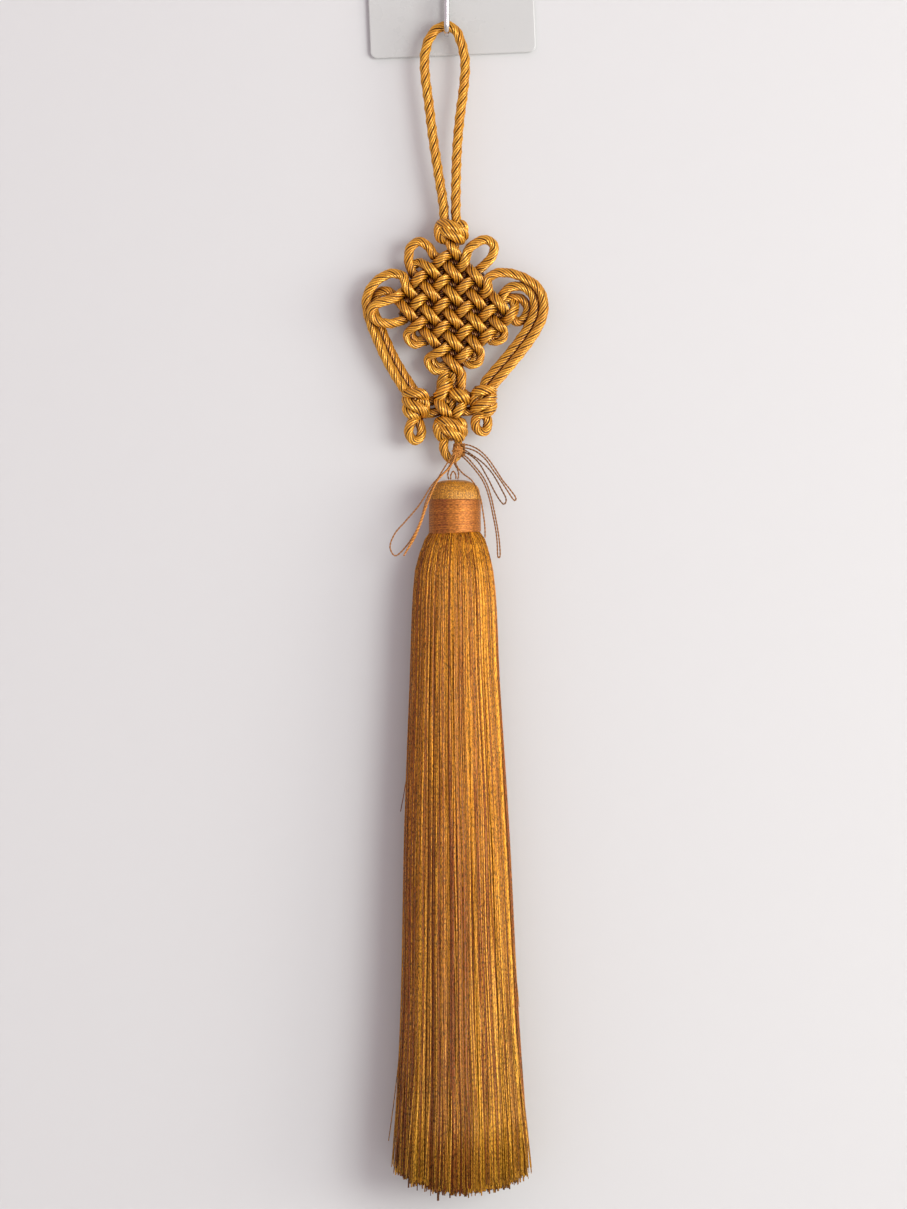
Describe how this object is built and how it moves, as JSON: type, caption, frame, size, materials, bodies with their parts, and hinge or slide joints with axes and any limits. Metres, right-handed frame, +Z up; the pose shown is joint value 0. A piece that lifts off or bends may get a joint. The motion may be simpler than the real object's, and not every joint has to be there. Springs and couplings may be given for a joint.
{
  "type": "chinese knot tassel on adhesive wall hook",
  "caption": "Gold knotted cord hanging with a woven diamond knot, side loops and a long silky tassel, held on a steel hook on a square adhesive wall plate.",
  "frame": {"origin": "centre of the hook plate's back face, on the wall", "axes": "+Y into the wall, +Z up, +X to the right as seen from the front"},
  "size_m": [0.0668, 0.0359, 0.4705],
  "materials": {
    "cord": "twisted satin cord, old gold",
    "tassel_silk": "fine lustrous thread, orange gold",
    "binding": "smooth satin thread, orange",
    "thread": "thin waxed thread, orange",
    "hook_steel": "polished wire",
    "plate": "milky clear plastic"
  },
  "bodies": {
    "root": {"hook_plate": "plate", "hook": "hook_steel", "knotted_cord": "cord", "tie_threads": "thread", "tassel": "tassel_silk", "neck_binding": "binding"}
  },
  "joints": []
}
